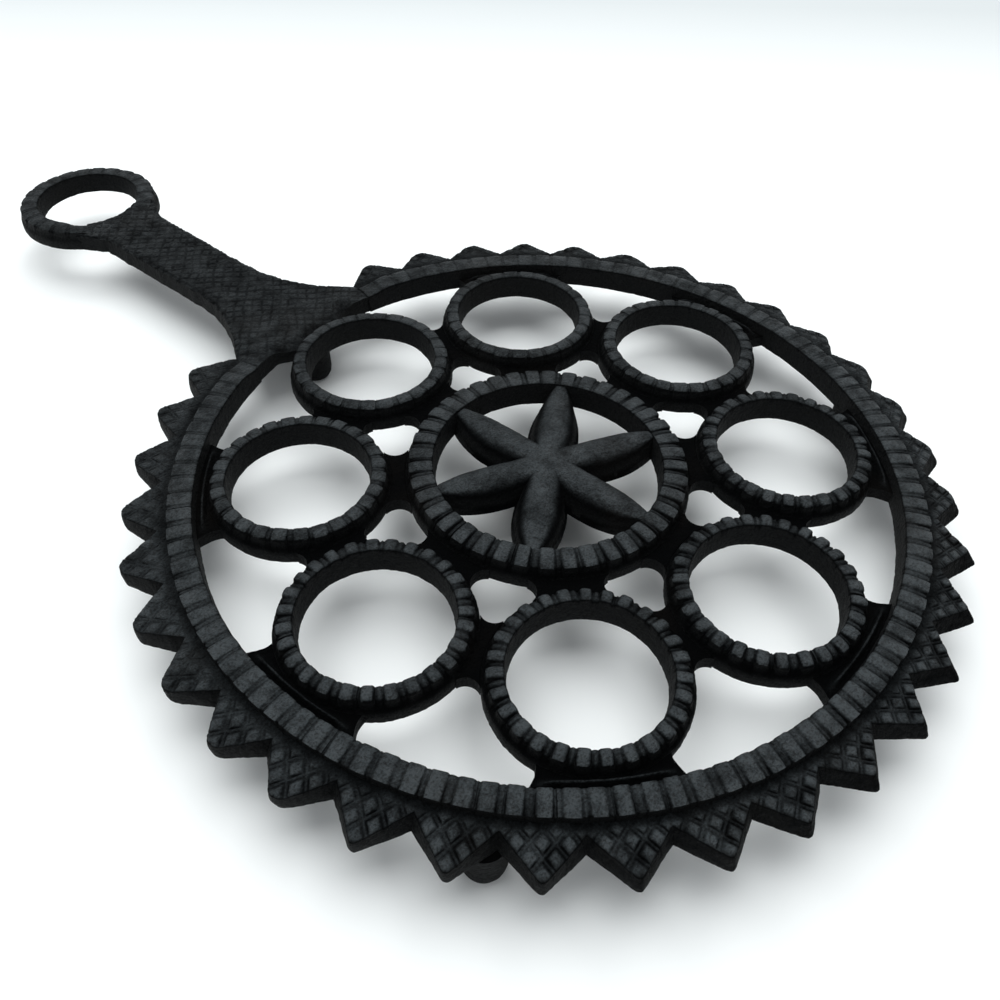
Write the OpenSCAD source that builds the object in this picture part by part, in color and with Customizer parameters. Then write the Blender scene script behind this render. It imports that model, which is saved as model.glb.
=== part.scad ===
// Round cast iron trivet with a handle, a sawtooth edge and a star centre.
// Origin: centre of the footprint of the whole casting, on the table.
// +Z is up and the handle points along +Y.

/* [Body] */
// Radius of the circle that the eight ring centres lie on
ring_circle_r = 56; // [46:0.5:67]
// Thickness of the casting at the rings and the centre ring
casting_t = 6.5; // [5.4:0.1:8]
// Clear height between the table and the underside of the casting
clear_h = 11.5; // [8:0.1:18]
// Chamfer on the top edges of the rings and the band
edge_chamfer = 0.4; // [0.2:0.05:0.6]
// How far the ring walls lean inward above the webs
wall_lean = 1; // [0.4:0.05:1.2]

/* [Rings] */
// Clear space between neighbouring rings at their closest
ring_gap = 1.86; // [1.2:0.02:2.6]
// Width of the wall of each ring
ring_w = 4.5; // [3.8:0.1:5.4]
// Ribs on top of each ring
ring_ribs = 27; // [17:2:31]

/* [Centre ring] */
// Clear space between the centre ring and the rings round it
centre_gap = 2.9; // [2:0.1:5]
// Width of the wall of the centre ring
centre_w = 6.5; // [5:0.1:7.5]
// Ribs on top of the centre ring
centre_ribs = 40; // [30:2:48]

/* [Star] */
// Greatest width of a ray
ray_w = 11.6; // [8:0.1:12.8]
// Width of a ray where it meets the centre ring
ray_end_w = 4; // [2:0.1:6]
// Radius of the rounded crest of a ray
crest_r = 6.6; // [6.4:0.1:9]
// Radius of the flat spot in the middle of the star
hub_flat_r = 2.4; // [1.5:0.1:4]
// How far the crests of the rays lie below that flat spot
crest_step = 0.25; // [0.15:0.05:0.6]

/* [Rim band] */
// Clear space between the rings and the rim band
rim_gap = 2.2; // [1.8:0.1:3.6]
// Width of the rim band
band_w = 5.8; // [5.2:0.1:8]
// How far the band lies below the top of the rings
band_step = 0.6; // [0.2:0.1:1]

/* [Sawtooth border] */
// Tooth pitches in a full turn, of which the handle root takes three
tooth_pitches = 37; // [33:2:39]
// Width of plain border between the band and the tooth roots
root_w = 1.8; // [1.1:0.1:3]
// Height of a tooth from root to tip on the top face
tooth_h = 7; // [5:0.1:9]
// Width of the blunt tip of a tooth
tip_w = 1.5; // [1:0.1:2.5]
// How far the toothed edge spreads outward towards the underside
edge_draft = 2.2; // [0.5:0.1:2.5]
// How far the border lies below the top of the band
border_step = 1.9; // [1:0.1:2.4]
// Width of the groove between the band and the border
seam_w = 0.7; // [0.4:0.1:1]
// Depth of that groove
seam_d = 0.6; // [0.3:0.1:1]

/* [Webs] */
// How far the webs lie below the top of the rings
web_step = 3.3; // [2.4:0.1:4.2]
// Fillet radius where a web joins a ring to the rim band
rim_fillet_r = 3.2; // [2.6:0.1:4]
// Fillet radius where a web joins two neighbouring rings
ring_fillet_r = 3; // [2.4:0.1:3.6]
// Fillet radius where a web joins a ring to the centre ring
centre_fillet_r = 3.4; // [2.8:0.1:4]
// Width of the raised line that follows the band on the webs
line_w = 0.9; // [0.7:0.1:1.2]
// Height of that line above the web
line_h = 1.3; // [0.6:0.1:1.6]
// Clear space between that line and the band
line_gap = 0.9; // [0.5:0.1:1.2]

/* [Handle] */
// Width of the strap at its narrowest
strap_w = 18; // [14:0.1:20]
// How far the handle lies below the top of the band
handle_step = 1.1; // [0.6:0.1:1.6]
// Radius of the flare from the strap into the rim
flare_r = 42; // [34:0.5:46]
// Fillet radius between the strap and the loop
neck_fillet_r = 14; // [8:0.5:18]
// Distance from the tooth roots to the centre of the loop
handle_len = 90.4; // [76:0.1:110]
// Radius of the hanging hole
loop_hole_r = 14.4; // [12:0.1:15.5]
// Width of the wall of the loop
loop_w = 5.8; // [4.5:0.1:7]
// Ribs round the loop
loop_ribs = 24; // [16:2:30]

/* [Feet] */
// Radius of a foot
foot_r = 4.4; // [3.6:0.1:5]
// Radius of the rounding at the end of a foot
foot_round_r = 2.8; // [1.5:0.1:3.4]

/* [Relief] */
// Width of the grooves between the ribs
rib_gap = 1.3; // [0.8:0.1:1.5]
// Depth of the grooves between the ribs
rib_d = 0.5; // [0.3:0.05:0.8]
// Spacing of the lattice lines on the teeth
lattice_pitch = 2.7; // [2.4:0.1:3.2]
// Width of the lattice lines on the teeth
lattice_gap = 0.6; // [0.4:0.05:0.8]
// Depth of the lattice lines on the teeth
lattice_d = 0.45; // [0.2:0.05:0.7]
// Spacing of the crossed lines on the handle
weave_pitch = 3.2; // [2.6:0.1:5]
// Width of the crossed lines on the handle
weave_gap = 0.5; // [0.3:0.05:0.8]
// Depth of the crossed lines on the handle
weave_d = 0.35; // [0.2:0.05:0.6]

/* [Hidden] */
$fn = 96;

// Counts that the pattern of the casting fixes
ring_count = 8;
ray_count = 6;
foot_count = 3;
handle_pitches = 3;
ribs_per_tooth = 3;

// Overrun that every cut shares
over = 1;

// Share of each fillet that a web takes up, so that no edge thins out to nothing
fillet_share = 0.9;

// Levels
under_z = clear_h;
top_z = clear_h + casting_t;
band_z = top_z - band_step;
border_z = band_z - border_step;
handle_z = band_z - handle_step;
web_z = top_z - web_step;
crest_z = top_z - crest_step;

// Angle between neighbouring rings
ring_step = 360 / ring_count;

// Radii, each from the circle of ring centres and the clear spaces
ring_out_r = ring_circle_r * sin(ring_step / 2) - ring_gap / 2;
ring_in_r = ring_out_r - ring_w;
centre_out_r = ring_circle_r - ring_out_r - centre_gap;
centre_in_r = centre_out_r - centre_w;
band_in_r = ring_circle_r + ring_out_r + rim_gap;
band_out_r = band_in_r + band_w;
root_r = band_out_r + root_w;
tip_r = root_r + tooth_h;
loop_reach = root_r + handle_len;
loop_out_r = loop_hole_r + loop_w;

// Angles of the teeth
pitch_a = 360 / tooth_pitches;
handle_a = handle_pitches * pitch_a / 2;
band_ribs = ribs_per_tooth * tooth_pitches;

// Middle of the whole length, which the origin stands under
mid_y = (loop_reach + loop_out_r - (tip_r + edge_draft) * cos(pitch_a / 2)) / 2;

// Corners of one tooth flank on the top face, with the root on the Y axis
tip_a = asin(tip_w / 2 / tip_r);
flank_x = tip_r * sin(pitch_a / 2 - tip_a);
flank_y = tip_r * cos(pitch_a / 2 - tip_a);
flank_a = atan2(flank_x, flank_y - root_r);
flank_len = norm([flank_x, flank_y - root_r]);
border_t = border_z - under_z;
flank_tilt = atan(edge_draft * sin(flank_a) / border_t);
tooth_a = flank_a - pitch_a / 2;
first_tooth = (handle_pitches + 1) / 2;
lattice_lines = floor(flank_len / lattice_pitch);

// Places of the fillet circles, each tangent to two of the round parts
function third_corner_y(a, b, d) = (d * d + a * a - b * b) / (2 * d);
function third_corner_x(a, b, d) = sqrt(a * a - pow(third_corner_y(a, b, d), 2));
rim_fy = third_corner_y(band_in_r - rim_fillet_r, ring_out_r + rim_fillet_r, ring_circle_r);
rim_fx = third_corner_x(band_in_r - rim_fillet_r, ring_out_r + rim_fillet_r, ring_circle_r);
rim_side_x = fillet_share * rim_fx;
centre_fy = third_corner_y(centre_out_r + centre_fillet_r, ring_out_r + centre_fillet_r,
    ring_circle_r);
centre_fx = third_corner_x(centre_out_r + centre_fillet_r, ring_out_r + centre_fillet_r,
    ring_circle_r);
half_gap_x = ring_circle_r * sin(ring_step / 2);
half_gap_y = ring_circle_r * cos(ring_step / 2);
ring_fd = sqrt(pow(ring_out_r + ring_fillet_r, 2) - half_gap_x * half_gap_x);

// Star
ray_mid = centre_in_r / 2;
ray_sag = (ray_w - ray_end_w) / 2;
ray_side_r = (ray_mid * ray_mid + ray_sag * ray_sag) / (2 * ray_sag);

// Handle outline: where the flare starts and where the neck fillets lie
flare_end_x = root_r * sin(handle_a);
flare_end_y = root_r * cos(handle_a);
flare_dx = flare_end_x - strap_w / 2;
flare_y = flare_end_y + sqrt(flare_r * flare_r - pow(flare_r - flare_dx, 2));
neck_x = strap_w / 2 + neck_fillet_r;
weave_lines_half = ceil((loop_reach - band_in_r) / 2 / weave_pitch);
neck_y = loop_reach - sqrt(pow(loop_out_r + neck_fillet_r, 2) - neck_x * neck_x);

// Turns a shape clockwise from the handle, seen from above, and moves it to the footprint
module place(angle = 0) {
    translate([0, -mid_y, 0])
    rotate([0, 0, -angle])
    children();
}

// Round wall with chamfered top edges, leaning inward above the webs
module wall_ring(in_r, out_r, z0, z1) {
    rotate_extrude()
    polygon([
        [in_r, z0],
        [out_r, z0],
        [out_r, web_z],
        [out_r - wall_lean, z1 - edge_chamfer],
        [out_r - wall_lean - edge_chamfer, z1],
        [in_r + edge_chamfer, z1],
        [in_r, z1 - edge_chamfer]]);
}

// Radial grooves across a round wall, centred between its ribs
module rib_grooves(in_r, out_r, count, z1, first = 0, last = -1) {
    end = last < first ? count - 1 : last;
    for (i = [first : end])
        rotate([0, 0, -(i + 1 / 2) * 360 / count])
        translate([-rib_gap / 2, in_r - over, z1 - rib_d])
        cube([rib_gap, out_r - in_r + 2 * over, rib_d + over]);
}

// Wedge from the centre to past the rim, on both sides of the handle
module handle_wedge(reach) {
    polygon([
        [0, 0],
        [reach * tan(handle_a), reach],
        [-reach * tan(handle_a), reach]]);
}

module small_ring(index) {
    color("dimgray")
    place((index - 1) * ring_step)
    translate([0, ring_circle_r, 0])
    difference() {
        wall_ring(ring_in_r, ring_out_r, under_z, top_z);
        rib_grooves(ring_in_r, ring_out_r, ring_ribs, top_z);
    }
}

module ring_1() small_ring(1);
module ring_2() small_ring(2);
module ring_3() small_ring(3);
module ring_4() small_ring(4);
module ring_5() small_ring(5);
module ring_6() small_ring(6);
module ring_7() small_ring(7);
module ring_8() small_ring(8);

module centre_ring() {
    color("slategray")
    place()
    difference() {
        wall_ring(centre_in_r, centre_out_r, under_z, top_z);
        rib_grooves(centre_in_r, centre_out_r, centre_ribs, top_z);
    }
}

// Plan of one ray, between two arcs
module ray_plan() {
    intersection() {
        translate([ray_side_r - ray_w / 2, ray_mid])
        circle(r = ray_side_r);
        translate([ray_w / 2 - ray_side_r, ray_mid])
        circle(r = ray_side_r);
        circle(r = centre_in_r);
    }
}

// Bar with a round crest, as long as two opposite rays
module crest_bar() {
    translate([0, centre_in_r + over, 0])
    rotate([90, 0, 0])
    linear_extrude(2 * (centre_in_r + over)) {
        translate([0, crest_z - crest_r])
        circle(r = crest_r);
        translate([-crest_r, crest_z - 2 * crest_r])
        square([2 * crest_r, crest_r]);
    }
}

module star() {
    color("gray")
    place()
    intersection() {
        translate([0, 0, under_z])
        linear_extrude(casting_t)
        for (i = [0 : ray_count - 1])
            rotate(i * 360 / ray_count)
            ray_plan();
        union() {
            for (i = [0 : ray_count / 2 - 1])
                rotate([0, 0, i * 360 / ray_count])
                crest_bar();
            translate([0, 0, crest_z - crest_r])
            cylinder(r = hub_flat_r, h = crest_r + crest_step);
        }
    }
}

// Band as a whole ring, with chamfered top edges
module band_wall() {
    rotate_extrude()
    polygon([
        [band_in_r, under_z],
        [band_out_r, under_z],
        [band_out_r, band_z - edge_chamfer],
        [band_out_r - edge_chamfer, band_z],
        [band_in_r + edge_chamfer, band_z],
        [band_in_r, band_z - edge_chamfer]]);
}

module rim_band() {
    color("darkslategray")
    place()
    difference() {
        band_wall();
        translate([0, 0, under_z - over])
        linear_extrude(casting_t + 2 * over)
        handle_wedge(band_out_r + over);
        rib_grooves(band_in_r, band_out_r, band_ribs, band_z,
            (handle_pitches * ribs_per_tooth - 1) / 2,
            band_ribs - 1 - (handle_pitches * ribs_per_tooth - 1) / 2);
    }
}

// Everything outside one tooth flank, leaning outward towards the underside
module flank_side() {
    translate([0, root_r, border_z])
    rotate([0, 0, -flank_a])
    rotate([0, flank_tilt, 0])
    translate([-2 * flank_len, -flank_len, -2 * flank_len])
    cube([2 * flank_len, 3 * flank_len, 4 * flank_len]);
}

// Space between two neighbouring teeth
module tooth_gap() {
    intersection() {
        flank_side();
        mirror([1, 0, 0])
        flank_side();
    }
}

// Crossed lines on the top of a tooth that points along +Y
module tooth_lattice() {
    translate([0, 0, border_z - lattice_d])
    linear_extrude(lattice_d + over)
    difference() {
        intersection() {
            union() {
                for (side = [0, 1], i = [1 : lattice_lines])
                    mirror([side, 0, 0])
                    translate([tip_w / 2, tip_r * cos(tip_a)])
                    rotate(tooth_a)
                    translate([-i * lattice_pitch - lattice_gap / 2, -2 * flank_len])
                    square([lattice_gap, 3 * flank_len]);
            }
            polygon([
                [0, 0],
                [(tip_r + over) * tan(pitch_a / 2), tip_r + over],
                [-(tip_r + over) * tan(pitch_a / 2), tip_r + over]]);
        }
        circle(r = root_r + lattice_gap);
    }
}

module sawtooth_border() {
    color("black")
    place()
    difference() {
        rotate_extrude()
        polygon([
            [band_out_r, under_z],
            [tip_r + edge_draft, under_z],
            [tip_r, border_z],
            [band_out_r + seam_w, border_z],
            [band_out_r + seam_w, border_z - seam_d],
            [band_out_r, border_z - seam_d]]);
        translate([0, 0, under_z - over])
        linear_extrude(casting_t + 2 * over)
        handle_wedge(tip_r + edge_draft + over);
        for (k = [1 : tooth_pitches])
            rotate([0, 0, -(k - 1 / 2) * pitch_a])
            tooth_gap();
        for (k = [first_tooth : tooth_pitches - first_tooth])
            rotate([0, 0, -k * pitch_a])
            tooth_lattice();
    }
}

// Fillet circle pairs, as they lie beside the web on the Y axis
module fillet_pair(x, y, r) {
    translate([x, y])
    circle(r = r);
    translate([-x, y])
    circle(r = r);
}

// Web from a ring to the rim band or past its inner edge, with the ring on the Y axis
module rim_web_plan(reach = band_in_r) {
    difference() {
        intersection() {
            polygon([
                [0, ring_circle_r],
                [rim_side_x, rim_fy],
                [2 * rim_side_x, 2 * rim_fy],
                [-2 * rim_side_x, 2 * rim_fy],
                [-rim_side_x, rim_fy]]);
            circle(r = reach);
        }
        translate([0, ring_circle_r])
        circle(r = ring_out_r);
        fillet_pair(rim_fx, rim_fy, rim_fillet_r);
    }
}

// Web between two neighbouring rings, with the gap on the Y axis
module ring_web_plan() {
    difference() {
        polygon([
            [half_gap_x, half_gap_y],
            [0, half_gap_y + fillet_share * ring_fd],
            [-half_gap_x, half_gap_y],
            [0, half_gap_y - fillet_share * ring_fd]]);
        fillet_pair(half_gap_x, half_gap_y, ring_out_r);
        translate([0, half_gap_y + ring_fd])
        circle(r = ring_fillet_r);
        translate([0, half_gap_y - ring_fd])
        circle(r = ring_fillet_r);
    }
}

// Web from a ring to the centre ring, with the ring on the Y axis
module centre_web_plan() {
    difference() {
        polygon([
            [0, 0],
            [fillet_share * centre_fx, centre_fy],
            [0, ring_circle_r],
            [-fillet_share * centre_fx, centre_fy]]);
        circle(r = centre_out_r);
        translate([0, ring_circle_r])
        circle(r = ring_out_r);
        fillet_pair(centre_fx, centre_fy, centre_fillet_r);
    }
}

module rim_webs() {
    color("olivedrab")
    place()
    for (i = [1 : ring_count - 1])
        rotate([0, 0, -i * ring_step]) {
            translate([0, 0, under_z])
            linear_extrude(web_z - under_z)
            rim_web_plan();
            translate([0, 0, web_z])
            linear_extrude(line_h)
            difference() {
                rim_web_plan(band_in_r - line_gap);
                circle(r = band_in_r - line_gap - line_w);
            }
        }
}

module ring_webs() {
    color("olive")
    place()
    for (i = [0 : ring_count - 1])
        rotate([0, 0, -(i + 1 / 2) * ring_step])
        translate([0, 0, under_z])
        linear_extrude(web_z - under_z)
        ring_web_plan();
}

module centre_webs() {
    color("darkolivegreen")
    place()
    for (i = [0 : ring_count - 1])
        rotate([0, 0, -i * ring_step])
        translate([0, 0, under_z])
        linear_extrude(web_z - under_z)
        centre_web_plan();
}

// Outline of the strap, its root across the rim and its end at the loop
module handle_plan() {
    difference() {
        translate([-flare_end_x, flare_end_y])
        square([2 * flare_end_x, flare_y - flare_end_y]);
        fillet_pair(strap_w / 2 + flare_r, flare_y, flare_r);
    }
    difference() {
        union() {
            translate([-strap_w / 2, flare_end_y])
            square([strap_w, loop_reach - flare_end_y]);
            polygon([
                [-neck_x, neck_y],
                [neck_x, neck_y],
                [0, loop_reach]]);
        }
        fillet_pair(neck_x, neck_y, neck_fillet_r);
        translate([0, loop_reach])
        circle(r = loop_out_r);
    }
    difference() {
        intersection() {
            circle(r = root_r);
            handle_wedge(root_r);
        }
        circle(r = band_in_r);
    }
    rim_web_plan(root_r);
}

// Crossed lines over the whole handle, at half a right angle to its length
module weave_lines() {
    for (side = [0, 1], i = [-weave_lines_half : weave_lines_half])
        mirror([side, 0, 0])
        translate([0, (band_in_r + loop_reach) / 2])
        rotate(45)
        translate([i * weave_pitch - weave_gap / 2, -loop_reach / 2])
        square([weave_gap, loop_reach]);
}

module handle() {
    color("saddlebrown")
    place()
    difference() {
        translate([0, 0, under_z])
        linear_extrude(handle_z - under_z)
        handle_plan();
        translate([0, 0, handle_z - weave_d])
        linear_extrude(weave_d + over)
        weave_lines();
    }
}

module hanging_loop() {
    color("sienna")
    place()
    translate([0, loop_reach, 0])
    difference() {
        wall_ring(loop_hole_r, loop_out_r, under_z, band_z);
        rib_grooves(loop_hole_r, loop_out_r, loop_ribs, band_z);
        translate([-strap_w / 2, -loop_out_r - over, handle_z])
        cube([strap_w, loop_out_r + over, handle_step + over]);
    }
}

// Round peg with a rounded end and a small flat to stand on
module foot(index, reach) {
    color("peru")
    place((index - 1) * 360 / foot_count)
    translate([0, reach, 0])
    rotate_extrude()
    union() {
        square([foot_r - foot_round_r, under_z]);
        translate([0, foot_round_r])
        square([foot_r, under_z - foot_round_r]);
        intersection() {
            translate([foot_r - foot_round_r, foot_round_r])
            circle(r = foot_round_r);
            square([foot_r, foot_round_r]);
        }
    }
}

// One foot under the joint of ring 1 and the handle, two under tooth roots
module foot_1() foot(1, band_in_r);
module foot_2() foot(2, root_r);
module foot_3() foot(3, root_r);

rim_band();
sawtooth_border();
ring_1();
ring_2();
ring_3();
ring_4();
ring_5();
ring_6();
ring_7();
ring_8();
centre_ring();
star();
rim_webs();
ring_webs();
centre_webs();
handle();
hanging_loop();
foot_1();
foot_2();
foot_3();
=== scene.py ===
import random
from math import atan2, cos, exp, hypot, pi, radians, sin, sqrt, tan, tau

import bmesh
import bpy
from mathutils import Matrix, Vector, noise


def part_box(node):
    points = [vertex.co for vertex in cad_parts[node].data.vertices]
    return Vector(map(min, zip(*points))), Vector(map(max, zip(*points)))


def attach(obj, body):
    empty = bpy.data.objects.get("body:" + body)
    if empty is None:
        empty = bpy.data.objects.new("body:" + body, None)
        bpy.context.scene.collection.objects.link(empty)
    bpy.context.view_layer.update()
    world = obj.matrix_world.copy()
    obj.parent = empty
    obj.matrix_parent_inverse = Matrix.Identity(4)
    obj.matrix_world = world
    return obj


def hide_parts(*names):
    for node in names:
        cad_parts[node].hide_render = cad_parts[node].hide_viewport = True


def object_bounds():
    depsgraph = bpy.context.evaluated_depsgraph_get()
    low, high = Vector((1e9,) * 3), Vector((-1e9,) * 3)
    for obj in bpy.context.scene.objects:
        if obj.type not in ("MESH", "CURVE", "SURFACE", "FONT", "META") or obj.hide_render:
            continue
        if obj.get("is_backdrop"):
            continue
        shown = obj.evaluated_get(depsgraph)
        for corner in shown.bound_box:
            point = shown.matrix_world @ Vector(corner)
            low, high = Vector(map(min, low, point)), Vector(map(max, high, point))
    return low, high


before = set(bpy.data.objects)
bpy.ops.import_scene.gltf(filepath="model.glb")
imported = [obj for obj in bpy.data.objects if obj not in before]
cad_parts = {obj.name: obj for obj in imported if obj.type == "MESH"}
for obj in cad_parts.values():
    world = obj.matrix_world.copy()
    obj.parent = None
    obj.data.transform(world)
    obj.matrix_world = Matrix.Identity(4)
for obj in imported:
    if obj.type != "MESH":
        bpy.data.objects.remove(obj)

bl_info = {
    "name": "Cast iron trivet",
    "version": (1, 0, 0),
    "blender": (4, 5, 0),
    "location": "View3D > Sidebar > Trivet",
    "description": "Builds the looks of a round cast iron trivet over its packed model",
    "category": "Add Mesh",
}

MM = 0.001
UP = Vector((0, 0, 1))

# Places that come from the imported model, in metres
CENTRE_LOW, CENTRE_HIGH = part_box("centre_ring")
LOOP_LOW, LOOP_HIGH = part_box("hanging_loop")
WHOLE_LOW, WHOLE_HIGH = (Vector(corner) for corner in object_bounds())
MIDDLE_Y = (CENTRE_LOW.y + CENTRE_HIGH.y) / 2
UNDER_Z = CENTRE_LOW.z
TOP_Z = CENTRE_HIGH.z
BAND_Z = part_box("rim_band")[1].z
BORDER_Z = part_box("sawtooth_border")[1].z
HANDLE_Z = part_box("handle")[1].z
WEB_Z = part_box("ring_webs")[1].z
LOOP_REACH = (LOOP_LOW.y + LOOP_HIGH.y) / 2 - MIDDLE_Y

# Side of the round where the cast pattern came out deepest, side with the longest teeth,
# and how far the round reaches
CRISP_SIDE = radians(208)
LONG_SIDE = radians(298)
ROUND_REACH = 95 * MM

# Painted light on the high places, laid over their wear and painted shade: its mean over the
# round, and how much it grows to the crisp side
PAINTED_LIGHT_MEAN = 0.72
PAINTED_LIGHT_SWING = 0.28

# Edges steeper than this stay crisp when the pieces are shaded
CRISP_EDGE = radians(52)

# Rib depth of the pieces as shares: the least, and what the crisp side has more
RING_DEPTH = (0.3, 0.78)
CENTRE_DEPTH = (0.75, 0.35)
BAND_DEPTH = (0.2, 0.63)
LOOP_DEPTH = 0.24

# One rib and half of the trough beside it: places as shares of a rib's spacing,
# and how much of the trough's depth each place has
RIB_PLACE_SHARES = (0, 0.12, 0.2, 0.26, 0.305, 0.35, 0.39, 0.43, 0.5)
RIB_DEPTH_SHARES = (0, 0.03, 0.1, 0.27, 0.62, 1, 0.97, 0.76, 0.64)
RIB_SAMPLES = 16

# Limits between which single ribs stray: in place, trough depth, height and width
RIB_STRAYS = ((-0.07, 0.07), (0.65, 1.35), (-0.22, 0.04), (-0.14, 0.14))

# Angles beside the handle between which the band rises and its ribs grow
NEAR_HANDLE = 0.01
PAST_HANDLE = 0.09

# Depths at which the ribs begin to fade into the wall, and at which they have faded
RIB_FADE_START = 0.3 * MM
RIB_FADE_INSIDE = 1.5 * MM
RIB_FADE_OUTSIDE = 2.6 * MM

# Shares by which a trough is shallower inside, a thin one shallower and narrower,
# a rib's inner end stands out less, and a trough's painted shade keeps it darker than the rib
TROUGH_TILT = 0.28
THIN_SHALLOWER = 0.35
THIN_NARROWER = 0.55
INNER_PUSH = 0.4
TROUGH_SHADE = (0.3, 0.52)
FULL_TROUGH = 0.7 * MM

# One row of blocks on a tooth, from its outer edge to the next row's: places as
# shares of the row's width, and how much block and how much thin ridge each has
ROW_PLACE_SHARES = (0, 0.08, 0.2, 0.4, 0.56, 0.66, 0.73, 0.8, 0.86, 0.91, 0.96)
ROW_BLOCK_SHARES = (0.45, 0.85, 1, 1, 0.9, 0.5, 0.12, 0, 0, 0, 0.1)
ROW_RIDGE_SHARES = (0, 0, 0, 0, 0, 0, 0.1, 0.6, 0.8, 0.6, 0.2)
ROW_SAMPLES = 11
ROWS = 4

# Limits between which single teeth stray: in length and tilt in millimetres, and in lean
TOOTH_STRAYS = ((-0.35, 0.3), (-0.15, 0.15), (-0.05, 0.05))

# How much longer than in the imported model the mean tooth is, how crisp a side has sharp
# tips, how much shallower the rows are away from it, and a tooth's inner seam, which dips and is
# painted darker as shade
TOOTH_LONGER = 0.7 * MM
SHARP_SIDE = 0.8
ROWS_SHALLOWER = 0.55
SEAM_IN = 0.4 * MM
SEAM_OUT = 2.6 * MM

# A wall under an edge: depth and spread shares of each step down
WALL_DEPTH_SHARES = (0.025, 0.08, 0.2, 0.36, 0.52, 0.68, 0.84, 0.96, 1)
WALL_SPREAD_SHARES = (0.06, 0.12, 0.24, 0.4, 0.56, 0.72, 0.88, 0.98, 0.9)

# Section of a ribbed wall in millimetres. Inside: set-out and height over the underside,
# then set-out and depth below the top. Crown: share of the width, depth, and depth that
# grows with the roll. Outside: share of the lean and depth.
INSIDE_FOOT = ((-0.2, 0), (-0.48, 0.35), (-0.36, 1.8), (-0.22, 3))
INSIDE_EDGE = ((-0.02, 1.3), (0.05, 0.75), (0.16, 0.35), (0.36, 0.12))
CROWN = ((0.2, 0.03, 0), (0.34, 0, 0), (0.48, 0.02, 0), (0.6, 0, 0.08), (0.72, 0, 0.2),
         (0.83, 0, 0.4), (0.92, 0, 0.68), (1, 0, 1.05))
OUTSIDE_SHOULDER = ((0.1, 1.5), (0.28, 2.1), (0.55, 2.8))

# The star: how far a ray runs under the centre ring, how far its crest lies below the top
# and falls at its end, where the hub turns into rays, and their steep shoulders
RAY_UNDER = 2.2 * MM
CREST_DROP = 0.3 * MM
END_DROP = 0.5 * MM
HUB_IN = 1 * MM
HUB_OUT = 9 * MM
RAY_SHOULDER = 2.6 * MM

# The ray whose edges are beaded fins, and those fins
BEADED_RAY = 4
BEAD = 0.35 * MM
FIN_WIDTH = 0.3 * MM
FIN_HEIGHT = 0.7 * MM

# The handle's rounded edge, and its dip at ring 1, which also carries painted shade
HANDLE_ROUND = 0.55 * MM
HANDLE_ROUND_WIDTH = 1.1 * MM
ROOT_DIP = 1.4 * MM
ROOT_DIP_REACH = 4 * MM

# Section of a foot: share of its radius, and height in millimetres
FOOT_SECTION = ((0, 0), (0.34, 0), (0.52, 0.1), (0.7, 0.45), (0.85, 1.1), (0.95, 2),
                (1, 3.2), (1, 6), (1, 9))

# The photograph's camera, the way it looks across the floor with the distances between
# which the floor fades, the overhead lamp, and the sky with its strength where it is seen
LENS = 33.456
CAMERA_PLACE = (-0.125526, -0.134325, 0.166275)
CAMERA_TURN = (42.6958, -1.2120, -51.0273)
FAR_WAY = (0.777, 0.629, 0)
# The floor's painted shade fades in between FADE_START and FADE_END
FADE_START = 0.15
FADE_END = 0.3
LAMP_PLACE = (0.28, 0.34, 1.25)
LAMP_AIM = (0, -0.02, 0)
LAMP_COLOUR = (0.98, 1, 1)
SKY_COLOUR = (0.95, 0.98, 1, 1)
SEEN_SKY = 0.92


def ease(low, high, value):
    """0 below the low end, 1 above the high end and a smooth rise between."""
    t = min(max((value - low) / (high - low), 0), 1)
    return t * t * (3 - 2 * t)


def crispness(angle):
    """How deep the cast pattern is at an angle round the trivet, from 0 to 1."""
    return 0.5 + 0.5 * cos(angle - CRISP_SIDE)


def length(name, about, default):
    """A size in metres that a user can change."""
    return bpy.props.FloatProperty(
        name=name, description=about, default=default, unit="LENGTH", precision=5)


def share(name, about, default):
    """A number from 0 to 1 that a user can change."""
    return bpy.props.FloatProperty(
        name=name, description=about, default=default, min=0, max=1, subtype="FACTOR")


def colour(name, about, default):
    """A colour that a user can change."""
    return bpy.props.FloatVectorProperty(
        name=name, description=about, default=default, size=3, min=0, max=1, subtype="COLOR")


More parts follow.
